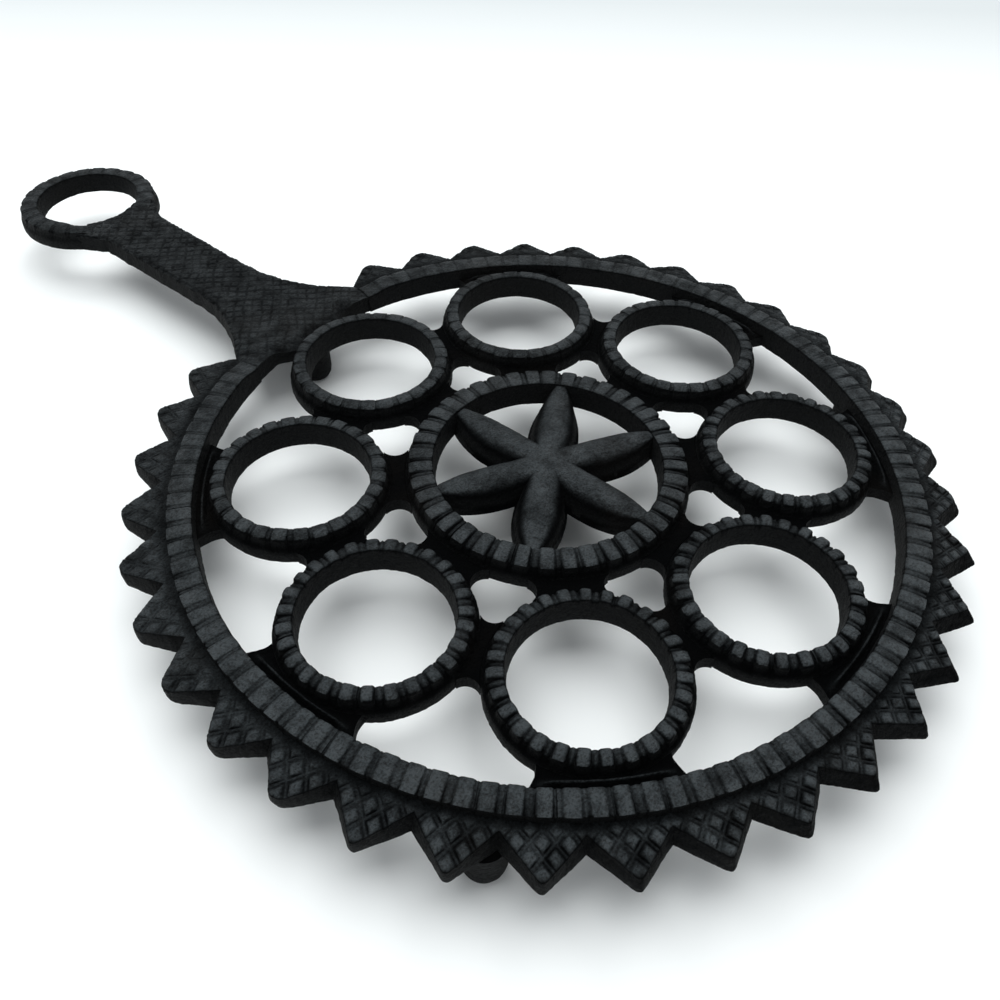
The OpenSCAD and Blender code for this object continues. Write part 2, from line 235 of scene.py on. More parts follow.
class TrivetPlan(bpy.types.PropertyGroup):
    """Sizes of the round and of the handle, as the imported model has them."""
    ring_circle: length("Ring circle", "Radius that the ring centres lie on", 56 * MM)
    ring_in: length("Ring hole", "Inner radius of a small ring", 16 * MM)
    ring_out: length("Ring outside", "Outer radius of a small ring", 20.5 * MM)
    ring_lean: length("Ring lean", "How far its outer wall leans in towards the top", 1.3 * MM)
    centre_in: length("Centre hole", "Inner radius of the centre ring", 26.1 * MM)
    centre_out: length("Centre outside", "Outer radius of the centre ring", 32.6 * MM)
    centre_lean: length("Centre lean", "How far its outer wall leans in", 1.2 * MM)
    band_in: length("Band inside", "Inner radius of the rim band", 78.7 * MM)
    band_out: length("Band outside", "Outer radius of the rim band", 84.5 * MM)
    band_lean: length("Band lean", "How far its outer wall leans in", 0.5 * MM)
    root: length("Tooth roots", "Radius at the roots of the teeth", 86.3 * MM)
    tip: length("Tooth tips", "Radius at the tips of the teeth", 93.3 * MM)
    spread: length("Tooth spread", "How far a tooth's tip spreads below", 2.1 * MM)
    strap_half: length("Strap", "Half the width of the strap at its narrowest", 8.8 * MM)
    flare: length("Flare", "Radius of the flare into the rim", 42 * MM)
    neck: length("Neck", "Radius of the fillets beside the loop", 14 * MM)
    loop_in: length("Loop hole", "Radius of the hanging hole", 14.4 * MM)
    loop_out: length("Loop outside", "Outer radius of the loop", 20.2 * MM)
    loop_lean: length("Loop lean", "How far its outer wall leans in", 0.9 * MM)
    foot: length("Foot", "Radius of a foot", 4.4 * MM)
    ray_half: length("Ray", "Half the width of a ray of the star", 5.6 * MM)
    ray_tip: length("Ray tip", "Half the width of a ray at the centre ring", 2.1 * MM)
    web_half: length("Rim web", "Half the width of a rim web beside its ring", 12.2 * MM)
    web_flare: length("Rim web flare", "How much wider half a web is at the band", 2.6 * MM)
    pitches: bpy.props.IntProperty(
        name="Tooth pitches", description="Tooth pitches in a full turn", default=37, min=12)
    handle_pitches: bpy.props.IntProperty(
        name="Handle pitches", description="Pitches that the handle takes", default=3, min=1)


class TrivetRelief(bpy.types.PropertyGroup):
    """Sizes of the cast pattern."""
    ring_ribs: bpy.props.IntProperty(
        name="Ring ribs", description="Ribs on a small ring", default=27, min=5)
    centre_ribs: bpy.props.IntProperty(
        name="Centre ribs", description="Ribs on the centre ring", default=40, min=5)
    loop_ribs: bpy.props.IntProperty(
        name="Loop ribs", description="Ribs on the hanging loop", default=24, min=5)
    ribs_per_tooth: bpy.props.IntProperty(
        name="Ribs to a tooth", description="Band ribs to one tooth pitch", default=3, min=1)
    rib_depth: length("Rib depth", "Depth of the troughs between ribs", 0.95 * MM)
    scallop: length("Scallop", "How far rib ends stand out from the troughs", 0.5 * MM)
    row: length("Row", "Width of one row of blocks on a tooth", 3.05 * MM)
    row_depth: length("Row depth", "Depth of the grooves between blocks", 0.75 * MM)
    droop: length("Droop", "How much lower a tooth's tip is than its root", 0.5 * MM)
    sharp_tip: length("Sharp tip", "Radius of a tooth's tip on the crisp side", 1.1 * MM)
    blunt_tip: length("Blunt tip", "Radius of a tooth's tip elsewhere", 3 * MM)
    longer: length("Longer", "How much longer the teeth on the long side are", 2.3 * MM)
    raised: length("Raised", "How much higher the teeth lie away from the crisp side", 0.9 * MM)
    weave: length("Weave", "Spacing of the crossed pattern on the handle", 4.7 * MM)
    weave_depth: length("Weave depth", "Depth of the crossed pattern", 0.3 * MM)
    weave_bend: length("Weave bend", "How far its lines wander", 0.75 * MM)
    ridge: length("Ridge", "Width at which a ray falls by as much from its crest", 10 * MM)
    cast_size: length("Cast waves", "Size of the unevenness of the casting", 4.5 * MM)
    cast_amount: length("Cast depth", "Depth of that unevenness", 0.2 * MM)


class TrivetIron(bpy.types.PropertyGroup):
    """Colours and finish of the iron, with painted light on the high places and painted shade in
    the hollows.
    """
    # Painted light: the high places' colour is their wear with painted light on it
    rubbed_and_lit: colour("Rubbed iron", "Colour of the high places", (0.038, 0.047, 0.052))
    # Painted shade: the hollows' colour is the black iron darkened as if in shade
    skin: colour("Iron skin", "Colour of the hollows", (0.0012, 0.0014, 0.0016))
    wall: colour("Iron walls", "Colour of the upright walls", (0.005, 0.0058, 0.0062))
    warm: colour("Warm iron", "Colour of a faint brown bloom", (0.016, 0.0125, 0.01))
    grain: length("Grain", "Size of the sand grain", 0.45 * MM)
    pit: length("Pit", "Size of the pits", 1.17 * MM)
    cloud: length("Cloud", "Size of the patches of wear", 5 * MM)
    bloom: length("Bloom", "Size of the patches of bloom", 22 * MM)
    grain_depth: length("Grain depth", "Depth of the sand grain", 0.65 * MM)
    top_shine: share("Top shine", "Shine of the high places", 0.42)
    top_rough: share("Top roughness", "Roughness of the high places", 0.4)
    hollow_rough: share("Hollow roughness", "Roughness of walls and hollows", 0.7)
    hollow_shine: share("Hollow shine", "Shine of the hollows", 0.02)
    wall_shine: share("Wall shine", "Shine of the upright walls", 0.13)


class TrivetStage(bpy.types.PropertyGroup):
    """The floor, the light and the camera."""
    floor: colour("Floor", "Colour of the floor", (0.93, 0.95, 0.95))
    # Painted shade: the floor darkens towards the far end
    far_floor_shade: colour("Far floor", "Colour of the floor at the far end", (0.62, 0.65, 0.66))
    floor_half: length("Floor", "Half the width of the floor", 3.0)
    sky: bpy.props.FloatProperty(
        name="Sky", description="Strength of the light from all round", default=0.5, min=0)
    lamp: bpy.props.FloatProperty(
        name="Lamp", description="Power of the overhead lamp in watts", default=22, min=0)
    lamp_size: length("Lamp size", "Width of the overhead lamp", 1.6)


def turned(section, steps, first=0, turn=tau):
    """A closed section of (radius, height) points, turned clockwise from +Y."""
    bm = bmesh.new()
    row = [bm.verts.new((r * sin(first), r * cos(first), z)) for r, z in section]
    edges = [bm.edges.new((row[i - 1], row[i])) for i in range(len(row))]
    whole = abs(turn - tau) < 1e-6
    made = bmesh.ops.spin(
        bm, geom=row + edges, cent=(0, 0, 0), axis=UP, angle=-turn, steps=steps, use_merge=whole)
    if not whole:
        last = [g for g in made["geom_last"] if isinstance(g, bmesh.types.BMEdge)]
        bmesh.ops.contextual_create(bm, geom=edges)
        bmesh.ops.contextual_create(bm, geom=last)
    bmesh.ops.remove_doubles(bm, verts=bm.verts, dist=1e-7)
    bmesh.ops.recalc_face_normals(bm, faces=bm.faces)
    bm.verts.layers.float.new("wear_and_shade")
    return bm


def cut_ribs(bm, cells, edges, deep_at, thin_at, seed, poke=1.0):
    """Sinks troughs between ribs round the top of a turned wall, and marks what stands high with
    wear and painted light and the troughs with painted shade.
    """
    inner, outer, top = edges
    scallop = bpy.context.scene.trivet_relief.scallop * poke
    wear_and_shade = bm.verts.layers.float["wear_and_shade"]
    dice = random.Random(seed)
    slip, deep, lift, size = (
        [dice.uniform(*limits) for _ in range(cells + 2)] for limits in RIB_STRAYS)
    half = RIB_SAMPLES // 2
    for v in bm.verts:
        r = hypot(v.co.x, v.co.y)
        angle = atan2(v.co.x, v.co.y) % tau
        cell, j = divmod(round(angle / tau * cells * RIB_SAMPLES), RIB_SAMPLES)
        side = 1
        if j > half:
            cell, j, side = cell + 1, RIB_SAMPLES - j, -1
        out = min(max((r - (inner + outer) / 2) / (outer - inner) * 2, -1), 1)
        faded = RIB_FADE_OUTSIDE if out > 0 else RIB_FADE_INSIDE
        high = 1 - ease(RIB_FADE_START, faded, top - v.co.z)
        thin = thin_at(angle)
        depth = deep_at(angle) * (1 - TROUGH_TILT * (1 - out)) * (1 - THIN_SHALLOWER * thin)
        place, sunk = RIB_PLACE_SHARES[j], RIB_DEPTH_SHARES[j]
        flank = ease(0, 0.2, place)
        place = 0.5 - (0.5 - place) * (1 - THIN_NARROWER * thin * flank) * (
            1 + size[cell] * flank * (0.5 - place))
        turn = (cell + side * place + (slip[cell] if j < half else 0)) * tau / cells
        drop = depth * high * (sunk * deep[cell] - lift[cell] * (1 - sunk))
        push = scallop * (0.5 - sunk) * high * out * out * (1 if out > 0 else -INNER_PUSH)
        r += push * (0.3 + 0.7 * deep_at(angle) / MM)
        v.co = Vector((r * sin(turn), r * cos(turn), v.co.z - drop))
        # Painted shade: a trough is darker than its rib, the more so the deeper it is
        dark = TROUGH_SHADE[0] + TROUGH_SHADE[1] * min(depth / FULL_TROUGH, 1)
        v[wear_and_shade] = high ** 2 * (1 - sunk * dark)


def roughen(bm, size, amount):
    """Moves each point along its normal by the unevenness of a sand casting."""
    bm.normal_update()
    moves = []
    for v in bm.verts:
        p = v.co / size
        step = noise.noise(p) * 0.6 + noise.noise(p * 2.7 + UP * 9) * 0.4
        step += noise.noise(p * 7 + UP * 4) * 0.4
        moves.append(v.normal * (step * amount))
    for v, move in zip(bm.verts, moves):
        v.co += move


def skirt(bm, floor_z, spread):
    """Closes an open top with a wall under its edge and an underside."""
    edge = [e for e in bm.edges if e.is_boundary]
    out = {}
    for e in edge:
        a, b = e.verts
        away = (a.co + b.co) / 2 - e.link_faces[0].calc_center_median()
        along = b.co - a.co
        n = Vector((along.y, -along.x, 0))
        if n.dot(away) < 0:
            n.negate()
        for v in e.verts:
            out[v] = out.get(v, Vector()) + n.normalized()
    start = {v: (v.co.copy(), spread(v.co, n.normalized())) for v, n in out.items()}
    wear_and_shade = bm.verts.layers.float["wear_and_shade"]
    for depth, wide in zip(WALL_DEPTH_SHARES, WALL_SPREAD_SHARES):
        made = bmesh.ops.extrude_edge_only(bm, edges=edge)["geom"]
        edge = [g for g in made if isinstance(g, bmesh.types.BMEdge)]
        below = {}
        for v in [g for g in made if isinstance(g, bmesh.types.BMVert)]:
            above = next(o for e in v.link_edges for o in (e.other_vert(v),)
                         if o in start and (o.co - v.co).length < 1e-9)
            below[v] = start[above]
        for v, (top, n) in below.items():
            v.co = top + n * wide
            v.co.z = top.z + (floor_z - top.z) * depth
            v[wear_and_shade] = 0
        start = below
    bmesh.ops.holes_fill(bm, edges=edge, sides=0)
    bmesh.ops.recalc_face_normals(bm, faces=bm.faces)


def grid(across, along):
    """A flat grid between -0.5 and 0.5 both ways, with its layer for wear, painted light and
    painted shade.
    """
    bm = bmesh.new()
    bmesh.ops.create_grid(bm, x_segments=across, y_segments=along, size=0.5)
    return bm, bm.verts.layers.float.new("wear_and_shade")


def add_turned(whole, bm, turn):
    """Adds a mesh to the whole, turned clockwise, and frees it."""
    bmesh.ops.rotate(
        bm, verts=bm.verts, cent=(0, 0, 0), matrix=Matrix.Rotation(-turn, 3, "Z"))
    part = bpy.data.meshes.new("part")
    bm.to_mesh(part)
    bm.free()
    whole.from_mesh(part)
    bpy.data.meshes.remove(part)


def node_of(tree, kind, **values):
    """A shader node with its settings."""
    node = tree.nodes.new(kind)
    for name, value in values.items():
        if name in node.inputs:
            node.inputs[name].default_value = value
        else:
            setattr(node, name, value)
    return node


def blend(tree, share_from, low, high):
    """A colour between two sockets or colours, by the value of a socket."""
    mix = node_of(tree, "ShaderNodeMix", data_type="RGBA", blend_type="MIX")
    tree.links.new(share_from, mix.inputs[0])
    for index, value in ((6, low), (7, high)):
        if isinstance(value, bpy.types.NodeSocket):
            tree.links.new(value, mix.inputs[index])
        else:
            mix.inputs[index].default_value = (*value, 1)
    return mix.outputs[2]


def ramp_value(tree, value, from_min, from_max, to_min, to_max):
    """A clamped map of a value to a new range."""
    node = node_of(tree, "ShaderNodeMapRange", clamp=True)
    for index, number in enumerate((from_min, from_max, to_min, to_max)):
        node.inputs[index + 1].default_value = number
    tree.links.new(value, node.inputs[0])
    return node.outputs[0]


def cast_iron(name, iron):
    """Black cast iron: tops with wear and painted light, hollows with painted shade, dull walls,
    sand grain and a faint bloom.
    """
    found = bpy.data.materials.get(name)
    if found:
        return found
    mat = bpy.data.materials.new(name)
    mat.use_nodes = True
    tree = mat.node_tree
    shader = tree.nodes["Principled BSDF"]
    link = tree.links.new
    place = node_of(tree, "ShaderNodeTexCoord").outputs["Object"]

    def speckle(size, detail, rough):
        tex = node_of(tree, "ShaderNodeTexNoise", Scale=1 / size, Detail=detail, Roughness=rough)
        link(place, tex.inputs["Vector"])
        return tex.outputs[0]

    def times(a, b):
        node = node_of(tree, "ShaderNodeMath", operation="MULTIPLY")
        link(a, node.inputs[0])
        link(b, node.inputs[1])
        return node.outputs[0]

    grain = speckle(iron.grain, 4, 0.65)
    pits = speckle(iron.pit, 2, 0.5)
    bloom = speckle(iron.bloom, 4, 0.6)
    cloud = speckle(iron.cloud, 3, 0.6)
    facing = node_of(tree, "ShaderNodeSeparateXYZ")
    link(node_of(tree, "ShaderNodeNewGeometry").outputs["Normal"], facing.inputs[0])
    # Up-facing places that stand high take the lighter colour, wear with painted light
    flat = ramp_value(tree, facing.outputs["Z"], 0.5, 0.97, 0, 1)
    wear_and_shade = node_of(tree, "ShaderNodeAttribute", attribute_name="wear_and_shade").outputs["Fac"]
    worn_and_lit = times(flat, ramp_value(tree, wear_and_shade, 0, 1, 0, 1))
    sheen = times(worn_and_lit, ramp_value(tree, cloud, 0.34, 0.66, 0.45, 1.3))
    worn_and_lit = times(sheen, ramp_value(tree, grain, 0.34, 0.68, 0.15, 1.7))
    side = ramp_value(tree, facing.outputs["Z"], 0.15, 0.6, 1, 0)
    side = times(side, ramp_value(tree, grain, 0.3, 0.72, 0.5, 1.4))
    # Hollows take the black iron darkened with painted shade, walls the dull iron colour
    body = blend(tree, worn_and_lit, blend(tree, side, iron.skin, iron.wall), iron.rubbed_and_lit)
    body = blend(tree, ramp_value(tree, bloom, 0.52, 0.75, 0, 0.16), body, iron.warm)
    link(body, shader.inputs["Base Color"])
    link(ramp_value(tree, sheen, 0, 0.8, iron.hollow_rough, iron.top_rough),
         shader.inputs["Roughness"])
    shine = node_of(tree, "ShaderNodeMath", operation="MAXIMUM")
    link(ramp_value(tree, sheen, 0, 1, iron.hollow_shine, iron.top_shine), shine.inputs[0])
    link(ramp_value(tree, side, 0, 1, 0, iron.wall_shine), shine.inputs[1])
    link(shine.outputs[0], shader.inputs["Specular IOR Level"])
    height = node_of(tree, "ShaderNodeMath", operation="MULTIPLY_ADD")
    link(pits, height.inputs[0])
    height.inputs[1].default_value = 1.3
    link(grain, height.inputs[2])
    bump = node_of(tree, "ShaderNodeBump", Strength=1.0, Distance=iron.grain_depth)
    link(height.outputs[0], bump.inputs["Height"])
    link(bump.outputs["Normal"], shader.inputs["Normal"])
    return mat


def finish_piece(bm, name, *nodes, centre=(0, 0), turn=0, rough=1.0):
    """Places a mesh on the trivet, gives it its iron and lets it stand for its nodes."""
    relief = bpy.context.scene.trivet_relief
    bmesh.ops.rotate(bm, verts=bm.verts, cent=(0, 0, 0), matrix=Matrix.Rotation(-turn, 3, "Z"))
    bmesh.ops.translate(bm, verts=bm.verts, vec=(centre[0], centre[1] + MIDDLE_Y, 0))
    roughen(bm, relief.cast_size, relief.cast_amount * rough)
    wear_and_shade = bm.verts.layers.float["wear_and_shade"]
    # Painted light: high places are lighter towards the crisp side and darker away from it
    toward = Vector((sin(CRISP_SIDE), cos(CRISP_SIDE), 0)) / ROUND_REACH
    middle = Vector((0, MIDDLE_Y, 0))
    for v in bm.verts:
        v[wear_and_shade] *= PAINTED_LIGHT_MEAN + PAINTED_LIGHT_SWING * min(max((v.co - middle).dot(toward), -1), 1)
    lowest = min(v.co.z for v in bm.verts)
    base = UNDER_Z if lowest > 1 * MM else 0
    for v in bm.verts:
        for axis in range(3):
            v.co[axis] = min(max(v.co[axis], WHOLE_LOW[axis]), WHOLE_HIGH[axis])
        v.co.z = max(v.co.z, base)
    mesh = bpy.data.meshes.new(name)
    bm.to_mesh(mesh)
    bm.free()
    mesh.shade_smooth()
    mesh.set_sharp_from_angle(angle=CRISP_EDGE)
    piece = bpy.data.objects.new(name, mesh)
    bpy.context.scene.collection.objects.link(piece)
    mesh.materials.append(cast_iron("cast_iron_skin", bpy.context.scene.trivet_iron))
    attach(piece, "root")
    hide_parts(*nodes)


def wall_section(inner, outer, top, lean, web, roll):
    """Section of a ribbed wall: a worn top that rolls over outward, and walls down to the web."""
    lip = outer - lean
    low = UNDER_Z
    web = min(web, top - 3 * MM)
    inside = [(inner + x * MM, low + z * MM) for x, z in INSIDE_FOOT]
    inside += [(inner + x * MM, top - z * MM) for x, z in INSIDE_EDGE]
    crown = [(inner + (lip - inner) * x, top - (z + rolled * roll) * MM) for x, z, rolled in CROWN]
    shoulder = [(lip + lean * x, top - z * MM) for x, z in OUTSIDE_SHOULDER]
    return inside + crown + shoulder + [
        (outer - lean * 0.15, web), (outer, web - 1 * MM), (outer, low + 0.4 * MM),
        (outer - 0.25 * MM, low), ((inner + outer) / 2, low)]


class TRIVET_OT_small_rings(bpy.types.Operator):
    """Turn the eight ribbed rings round the centre"""
    bl_idname = "trivet.small_rings"
    bl_label = "Small rings"

    def execute(self, context):
        plan, relief = context.scene.trivet_plan, context.scene.trivet_relief
        for index in range(8):
            turn = index * tau / 8
            bm = turned(
                wall_section(plan.ring_in, plan.ring_out, TOP_Z, plan.ring_lean, WEB_Z, roll=0.55),
                relief.ring_ribs * RIB_SAMPLES)
            crisp = crispness(turn)
            cut_ribs(
                bm, relief.ring_ribs, (plan.ring_in, plan.ring_out - plan.ring_lean, TOP_Z),
                lambda angle: relief.rib_depth * (RING_DEPTH[0] + RING_DEPTH[1] * crisp),
                thin_at=lambda angle: 1 - ease(0.1, 0.7, crisp), seed=11 + index)
            finish_piece(
                bm, f"ribbed_ring_{index + 1}", f"ring_{index + 1}",
                centre=(plan.ring_circle * sin(turn), plan.ring_circle * cos(turn)), turn=turn)
        return {"FINISHED"}


class TRIVET_OT_centre_ring(bpy.types.Operator):
    """Turn the ribbed ring in the middle"""
    bl_idname = "trivet.centre_ring"
    bl_label = "Centre ring"

    def execute(self, context):
        plan, relief = context.scene.trivet_plan, context.scene.trivet_relief
        least, more = CENTRE_DEPTH
        bm = turned(
            wall_section(
                plan.centre_in, plan.centre_out, TOP_Z, plan.centre_lean, WEB_Z, roll=0.5),
            relief.centre_ribs * RIB_SAMPLES)
        cut_ribs(
            bm, relief.centre_ribs, (plan.centre_in, plan.centre_out - plan.centre_lean, TOP_Z),
            lambda angle: relief.rib_depth * (least + more * crispness(angle)),
            thin_at=lambda angle: 0.6 - 0.35 * crispness(angle), seed=5)
        finish_piece(bm, "ribbed_centre_ring", "centre_ring")
        return {"FINISHED"}


class TRIVET_OT_star(bpy.types.Operator):
    """Shape the six round rays and the hub"""
    bl_idname = "trivet.star"
    bl_label = "Star"

    def execute(self, context):
        plan, relief = context.scene.trivet_plan, context.scene.trivet_relief
        reach, mid = plan.centre_in + RAY_UNDER, plan.centre_in / 2
        half = plan.ray_half
        sag = half - plan.ray_tip
        side = (mid * mid + sag * sag) / (2 * sag)
        whole = bmesh.new()
        whole.verts.layers.float.new("wear_and_shade")
        for index in range(6):
            bm, wear_and_shade = grid(44, 70)
            for v in bm.verts:
                across, y = v.co.x * 2, (v.co.y + 0.5) * reach
                if y < mid:
                    wide = half * (0.5 + 0.5 * sin(y / mid * pi / 2))
                else:
                    wide = half - side + sqrt(side * side - (y - mid) ** 2)
                x = wide * (0.55 * across + 0.45 * across ** 3)
                off = abs(x) / wide
                crest_z = TOP_Z - CREST_DROP - END_DROP * ease(0.62 * reach, 1.02 * reach, y)
                roof = x * x / relief.ridge + RAY_SHOULDER * off ** 6
                roof *= 0.25 + 0.75 * ease(HUB_IN, HUB_OUT, y)
                fin = 0
                if index == BEADED_RAY:
                    beads = 0.6 + 0.4 * sin(y / BEAD) * noise.noise(Vector((x, y, 0)) / MM)
                    from_fin = (abs(x) - 0.9 * wide) / FIN_WIDTH
                    fin = FIN_HEIGHT * beads * exp(-from_fin ** 2) * ease(0.1, 0.3, y / reach)
                v.co = Vector((x, y, crest_z - roof + fin))
                # Painted shade on the flanks; the crest is lighter with wear and painted light
                v[wear_and_shade] = 0.85 * (1 - ease(0.45, 0.85, off))
            skirt(bm, UNDER_Z, lambda co, n: n * (0.5 * MM if co.y > 0.5 * MM else 0))
            add_turned(whole, bm, index * tau / 6)
        finish_piece(whole, "rayed_star", "star", rough=0.7)
        return {"FINISHED"}


class TRIVET_OT_rim_band(bpy.types.Operator):
    """Turn the ribbed band from one side of the handle to the other"""
    bl_idname = "trivet.rim_band"
    bl_label = "Rim band"

    def execute(self, context):
        plan, relief = context.scene.trivet_plan, context.scene.trivet_relief
        ribs = plan.pitches * relief.ribs_per_tooth
        skipped = plan.handle_pitches * relief.ribs_per_tooth
        first = skipped / 2 * tau / ribs
        least, more = BAND_DEPTH
        bm = turned(
            wall_section(
                plan.band_in, plan.band_out, BAND_Z, plan.band_lean, BORDER_Z - 1 * MM, roll=0.25),
            (ribs - skipped) * RIB_SAMPLES, first, tau - 2 * first)

        def apart(angle):
            """How far a place is from the handle, from 0 beside it to 1."""
            return ease(first + NEAR_HANDLE, first + PAST_HANDLE, min(angle, tau - angle))

        cut_ribs(
            bm, ribs, (plan.band_in, plan.band_out, BAND_Z),
            lambda angle: relief.rib_depth * (least + more * crispness(angle)) * apart(angle),
            thin_at=lambda angle: 1 - 0.8 * crispness(angle), seed=3, poke=1.3)
        for v in bm.verts:
            near = 1 - apart(atan2(v.co.x, v.co.y) % tau)
            v.co.z -= near * (BAND_Z - HANDLE_Z) * (v.co.z - UNDER_Z) / (BAND_Z - UNDER_Z)
        finish_piece(bm, "ribbed_band", "rim_band")
        return {"FINISHED"}


class TRIVET_OT_sawtooth(bpy.types.Operator):
    """Shape the toothed border with its rows of blocks"""
    bl_idname = "trivet.sawtooth"
    bl_label = "Sawtooth border"

    def tooth(self, plan, relief, corner):
        """One tooth that points along +Y, as a mesh, with its tip rounded to a radius."""
        pitch = tau / plan.pitches
        tip = Vector((0, plan.tip, 0))
        root = Vector((plan.root * sin(pitch / 2), plan.root * cos(pitch / 2), 0))
        down = (root - tip).normalized()
        rows = [Vector((-down.x, down.y, 0)), Vector((down.x, down.y, 0))]
        count = ROWS * ROW_SAMPLES
        bm, wear_and_shade = grid(count, count)
        sunk = bm.verts.layers.float.new("sunk")
        for v in bm.verts:
            along, block, ridge = [], 1, 0
            for share_at in (v.co.x, v.co.y):
                k = round((share_at + 0.5) * count)
                row, j = divmod(k, ROW_SAMPLES)
                along.append((row + ROW_PLACE_SHARES[j]) * relief.row)
                block *= ROW_BLOCK_SHARES[j] if k else 0.5
                ridge = max(ridge, ROW_RIDGE_SHARES[j])
            u, w = along
            if u < corner and w < corner:
                p, q = corner - u, corner - w
                square, circle = max(p, q), hypot(p, q)
                if circle > 0:
                    u, w = corner - p * square / circle, corner - q * square / circle
            flat = tip + rows[0] * u + rows[1] * w
            depth = 1 - max(block, ridge * 0.5)
            depth *= 0.6 + 0.4 * ease(-0.4, 0.4, noise.noise(flat / (3 * MM)))
            fall = relief.droop * ease(plan.band_out, plan.tip, flat.y)
            seam = 1 - ease(plan.band_out + SEAM_IN, plan.band_out + SEAM_OUT, flat.y)
            depth *= 1 - 0.6 * seam
            z = BORDER_Z + 0.2 * MM - fall - relief.row_depth * depth - 0.5 * MM * seam ** 2
            v.co = Vector((flat.x, flat.y, z))
            v[sunk] = depth
            # Painted shade: grooves between blocks and the inner seam are darker; blocks are
            # lighter with wear and painted light
            v[wear_and_shade] = 0.9 * (1 - depth) ** 1.5 * (1 - 0.8 * seam)
        cut = plan.band_out - 0.7 * MM
        everything = bm.verts[:] + bm.edges[:] + bm.faces[:]
        bmesh.ops.bisect_plane(
            bm, geom=everything, dist=1e-7, plane_co=(0, cut, 0), plane_no=(0, 1, 0),
            clear_inner=True)

        def spread(co, n):
            """How far the wall below a place spreads, so that a tip stays one upright edge."""
            if co.y < cut + 0.2 * MM:
                return Vector()
            side = 1 if co.x > 0 else -1
            out = min(max((co.y - plan.root) / (plan.tip - plan.root), 0), 1)
            away = Vector((-side * down.y, down.x, 0)) * down.x
            return (away - Vector((side * down.x, down.y, 0)) * (-down.y * out)) * plan.spread

        skirt(bm, UNDER_Z, spread)
        for v in bm.verts:
            v[sunk] *= ease(UNDER_Z + 1 * MM, BORDER_Z - 1.6 * MM, v.co.z)
        part = bpy.data.meshes.new("tooth")
        bm.to_mesh(part)
        bm.free()
        return part

    def execute(self, context):
        plan, relief = context.scene.trivet_plan, context.scene.trivet_relief
        pitch = tau / plan.pitches
        first = plan.handle_pitches / 2 * pitch
        z = BORDER_Z
        section = [
            (plan.band_out - 0.8 * MM, UNDER_Z), (plan.band_out - 0.8 * MM, z - 0.9 * MM),
            (plan.band_out + 0.3 * MM, z - 0.95 * MM), (plan.band_out + 0.7 * MM, z - 0.6 * MM),
            (plan.root - 0.35 * MM, z - 0.6 * MM), (plan.root, z - 0.9 * MM),
            (plan.root + 0.45 * MM, z - 1.6 * MM), (plan.root + 1.2 * MM, z - 2.5 * MM),
            (plan.root + 1.9 * MM, UNDER_Z + 0.3 * MM), (plan.root + 1.7 * MM, UNDER_Z)]
        whole = turned(section, 540, first, tau - 2 * first)
        wear_and_shade = whole.verts.layers.float["wear_and_shade"]
        sunk = whole.verts.layers.float.new("sunk")
        sharp = self.tooth(plan, relief, relief.sharp_tip)
        blunt = self.tooth(plan, relief, relief.blunt_tip)
        dice = random.Random(8)
        for k in range((plan.handle_pitches + 1) // 2, plan.pitches - plan.handle_pitches // 2):
            before = len(whole.verts)
            angle = k * pitch
            whole.from_mesh(sharp if crispness(angle) > SHARP_SIDE else blunt)
            whole.verts.ensure_lookup_table()
            added = whole.verts[before:]
            crisp = ease(0.45, 0.93, crispness(angle))
            raised = relief.raised * (1 - crispness(angle))
            stray, tilt, lean = (dice.uniform(*limits) for limits in TOOTH_STRAYS)
            long = TOOTH_LONGER + relief.longer * cos(angle - LONG_SIDE) + stray * MM
            for v in added:
                grow = min(max((v.co.y - plan.root) / (plan.tip - plan.root), 0), 1)
                height = (v.co.z - UNDER_Z) / (BORDER_Z - UNDER_Z)
                v.co.y += long * grow * height
                v.co.x += lean * (v.co.y - plan.root) * grow
                v.co.z += (tilt * MM * grow + raised) * height
                v.co.z += relief.row_depth * v[sunk] * (1 - crisp) * ROWS_SHALLOWER
                # Away from the crisp side the painted shade in the grooves is lighter and the tops
                # a little darker
                v[wear_and_shade] += (0.35 * v[sunk] + 0.1 - 0.25 * v[wear_and_shade]) * (1 - crisp)
            bmesh.ops.rotate(
                whole, verts=added, cent=(0, 0, 0), matrix=Matrix.Rotation(-angle, 3, "Z"))
        bpy.data.meshes.remove(sharp)
        bpy.data.meshes.remove(blunt)
        finish_piece(whole, "toothed_edge", "sawtooth_border")
        return {"FINISHED"}


